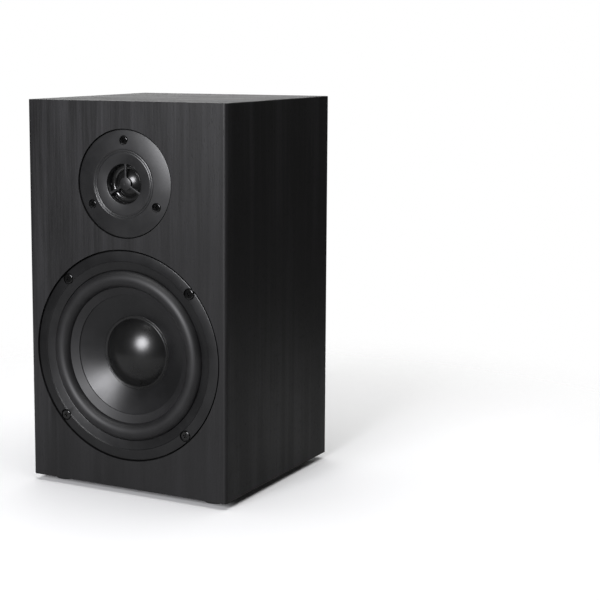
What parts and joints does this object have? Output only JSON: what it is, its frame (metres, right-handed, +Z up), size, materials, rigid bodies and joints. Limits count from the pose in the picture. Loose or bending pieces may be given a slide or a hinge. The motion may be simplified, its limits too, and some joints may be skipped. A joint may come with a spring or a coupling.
{
  "type": "bookshelf speaker",
  "caption": "Two-way bookshelf speaker: black wood-grain box, flush woofer and tweeter, spring-clip terminals in the back, rubber feet.",
  "frame": {"origin": "middle of the footprint, on the surface that the four feet stand on", "axes": "+Z up, the front with the drivers faces -Y, +X is on the right seen from the front"},
  "size_m": [0.178, 0.1795, 0.306],
  "materials": {
    "front_vinyl": "dark grey wood-grain vinyl on board, satin",
    "side_vinyl": "near-black wood-grain vinyl on board, satin",
    "back_board": "black painted board, matt",
    "foot_rubber": "matt",
    "magnet_alloy": "nickel plated",
    "wadding": "white polyester wadding",
    "trim_plastic": "satin moulded",
    "basket_steel": "black paint on pressed steel",
    "gasket_foam": "closed-cell foam",
    "roll_rubber": "butyl rubber, soft sheen",
    "cone_plastic": "satin polypropylene",
    "cap_plastic": "soft gloss",
    "former_foil": "plain foil",
    "copper_wire": "enamelled copper wire",
    "spider_cloth": "resin-stiffened cotton",
    "plated_steel": "zinc plated",
    "ferrite": "dark sintered ferrite",
    "phenolic": "brown laminate",
    "tinned_brass": "tinned",
    "tinsel_braid": "braided tinsel",
    "black_screws": "black zinc",
    "face_plastic": "semi-gloss moulded",
    "dome_film": "glossy black film",
    "board_laminate": "glass laminate",
    "spacer_nylon": "nylon",
    "capacitor_film": "wrapped film",
    "bobbin_plastic": "moulded",
    "ceramic": "cement case",
    "cup_plastic": "moulded, fine texture",
    "red_plastic": "moulded",
    "black_plastic": "moulded",
    "spring_steel": "plated strip",
    "red_wire": "PVC insulation",
    "black_wire": "PVC insulation"
  },
  "bodies": {
    "cabinet": {"front_baffle": "front_vinyl", "left_side_panel": "side_vinyl", "right_side_panel": "side_vinyl", "top_panel": "side_vinyl", "bottom_panel": "side_vinyl", "back_panel": "back_board", "rubber_feet": "foot_rubber", "baffle_magnets": "magnet_alloy", "damping_pad": "wadding", "woofer_trim_ring": "trim_plastic", "woofer_basket": "basket_steel", "woofer_gasket": "gasket_foam", "tweeter_gasket": "gasket_foam", "terminal_gasket": "gasket_foam", "woofer_surround": "roll_rubber", "crossover_coil_winding": "copper_wire", "woofer_spider": "spider_cloth", "woofer_top_plate": "plated_steel", "woofer_yoke": "plated_steel", "tweeter_top_plate": "plated_steel", "tweeter_yoke": "plated_steel", "lever_pins": "plated_steel", "crossover_screws": "plated_steel", "woofer_magnet": "ferrite", "tweeter_magnet": "ferrite", "woofer_terminal_strip": "phenolic", "tweeter_terminal_strip": "phenolic", "woofer_terminal_lugs": "tinned_brass", "tweeter_terminal_tabs": "tinned_brass", "woofer_tinsel_leads": "tinsel_braid", "woofer_screws": "black_screws", "tweeter_screws": "black_screws", "terminal_screws": "black_screws", "tweeter_faceplate": "face_plastic", "tweeter_surround": "dome_film", "crossover_board": "board_laminate", "crossover_standoffs": "spacer_nylon", "crossover_capacitors": "capacitor_film", "crossover_coil_bobbin": "bobbin_plastic", "crossover_resistor": "ceramic", "terminal_cup": "cup_plastic", "black_contact_spring": "spring_steel", "red_contact_spring": "spring_steel", "supply_lead_red": "red_wire", "woofer_lead_red": "red_wire", "tweeter_lead_red": "red_wire", "supply_lead_black": "black_wire", "woofer_lead_black": "black_wire", "tweeter_lead_black": "black_wire"},
    "woofer_moving": {"woofer_cone": "cone_plastic", "woofer_dust_cap": "cap_plastic", "woofer_coil_former": "former_foil", "woofer_coil_winding": "copper_wire"},
    "tweeter_moving": {"tweeter_dome": "dome_film", "tweeter_coil_former": "former_foil", "tweeter_coil_winding": "copper_wire"},
    "red_push_lever": {"red_lever": "red_plastic"},
    "black_push_lever": {"black_lever": "black_plastic"}
  },
  "joints": [
    {"name": "woofer_travel", "type": "slide", "parent": "cabinet", "child": "woofer_moving", "axis": [0, -1, 0], "range_m": [-0.005, 0.005], "stiffness_N_per_m": 1500, "deforming": ["woofer_surround", "woofer_spider", "woofer_tinsel_leads"]},
    {"name": "tweeter_travel", "type": "slide", "parent": "cabinet", "child": "tweeter_moving", "axis": [0, -1, 0], "range_m": [-0.0004, 0.0004], "stiffness_N_per_m": 2000, "deforming": ["tweeter_surround"]},
    {"name": "red_lever_push", "type": "hinge", "parent": "cabinet", "child": "red_push_lever", "pos_m": [0.013, 0.0795, 0.1], "axis": [-1, 0, 0], "range_deg": [0, 17], "stiffness_Nm_per_rad": 0.15, "springref_deg": -8.59, "deforming": ["red_contact_spring"]},
    {"name": "black_lever_push", "type": "hinge", "parent": "cabinet", "child": "black_push_lever", "pos_m": [-0.013, 0.0795, 0.1], "axis": [-1, 0, 0], "range_deg": [0, 17], "stiffness_Nm_per_rad": 0.15, "springref_deg": -8.59, "deforming": ["black_contact_spring"]}
  ]
}
